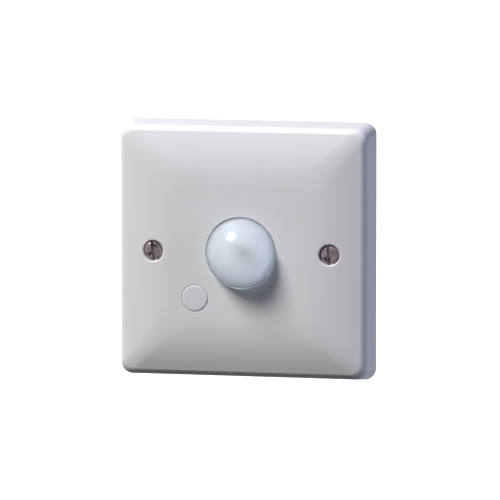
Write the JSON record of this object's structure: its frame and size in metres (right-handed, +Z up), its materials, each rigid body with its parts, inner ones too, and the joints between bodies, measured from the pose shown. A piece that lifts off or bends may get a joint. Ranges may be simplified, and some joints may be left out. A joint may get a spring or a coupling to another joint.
{
  "type": "motion sensor light switch",
  "caption": "Square moulded wall light switch with a domed motion sensor lens, a round push button and a housing that fits a flush wall box.",
  "frame": {"origin": "centre of the plate's back rim, in the plane of the wall, midway between the two fixing screws", "axes": "+Y into the wall, so the face looks along -Y; +Z up the wall; +X to the right of someone who faces the switch"},
  "size_m": [0.087, 0.0454, 0.087],
  "materials": {
    "plate_white": "smooth gloss moulding",
    "lens_white": "milky polyethylene, slightly blue",
    "moulded_white": "as moulded",
    "button_white": "satin moulding",
    "screw_nickel": "nickel plated",
    "screw_zinc": "zinc plated",
    "spring_steel": "drawn wire",
    "housing_plastic": "fine spark texture",
    "board_green": "solder mask over glass fibre",
    "nylon": "natural nylon",
    "can_metal": "drawn nickel plated can",
    "sensor_filter": "dark coated filter",
    "plated_pin": "gold flash",
    "clear_resin": "clear epoxy",
    "black_plastic": "moulded epoxy",
    "plunger_plastic": "smooth",
    "relay_case": "sealed case",
    "capacitor_case": "moulded case",
    "capacitor_sleeve": "shrunk sleeve",
    "varistor_coat": "dipped coat",
    "fuse_case": "moulded case",
    "ferrite": "sintered ferrite",
    "copper_wire": "enamelled copper wire",
    "trimmer_blue": "moulded",
    "terminal_plastic": "moulded",
    "terminal_brass": "turned and milled"
  },
  "bodies": {
    "switch": {"face_plate": "plate_white", "fixing_screws": "screw_nickel", "lens_dome": "lens_white", "lens_retainer": "moulded_white", "retainer_screws": "screw_zinc", "button_spring": "spring_steel", "rear_housing": "housing_plastic", "housing_screws": "screw_zinc", "front_board": "board_green", "sensor_spacer": "nylon", "sensor_can": "can_metal", "sensor_window": "sensor_filter", "sensor_leads": "plated_pin", "light_sensor": "clear_resin", "switch_body": "black_plastic", "controller_chip": "black_plastic", "main_board": "board_green", "board_spacers": "nylon", "link_header": "black_plastic", "link_pins": "plated_pin", "relay": "relay_case", "film_capacitor": "capacitor_case", "electrolytic_capacitor": "capacitor_sleeve", "varistor": "varistor_coat", "fuse": "fuse_case", "choke_spool": "ferrite", "choke_winding": "copper_wire", "rectifier": "black_plastic", "time_trimmer_body": "trimmer_blue", "light_trimmer_body": "trimmer_blue", "terminal_block": "terminal_plastic", "terminal_clamps": "terminal_brass", "terminal_screws": "terminal_brass"},
    "button": {"push_button": "button_white"},
    "plunger": {"switch_plunger": "plunger_plastic"},
    "time_rotor": {"time_trimmer_rotor": "nylon"},
    "light_rotor": {"light_trimmer_rotor": "nylon"}
  },
  "joints": [
    {"name": "button_press", "type": "slide", "parent": "switch", "child": "button", "axis": [0, 1, 0], "range_m": [0, 0.001], "stiffness_N_per_m": 600, "springref_m": -0.001, "deforming": ["button_spring"]},
    {"name": "plunger_press", "type": "slide", "parent": "switch", "child": "plunger", "axis": [0, 1, 0], "range_m": [0, 0.001], "stiffness_N_per_m": 300, "springref_m": -0.001},
    {"name": "time_trimmer_turn", "type": "hinge", "parent": "switch", "child": "time_rotor", "pos_m": [-0.009, 0.017, 0.01], "axis": [0, 1, 0], "range_deg": [-130, 130]},
    {"name": "light_trimmer_turn", "type": "hinge", "parent": "switch", "child": "light_rotor", "pos_m": [0.009, 0.017, 0.01], "axis": [0, 1, 0], "range_deg": [-130, 130]}
  ],
  "couplings": [
    {"joint": "plunger_press", "follows": "button_press", "ratio": 1}
  ]
}
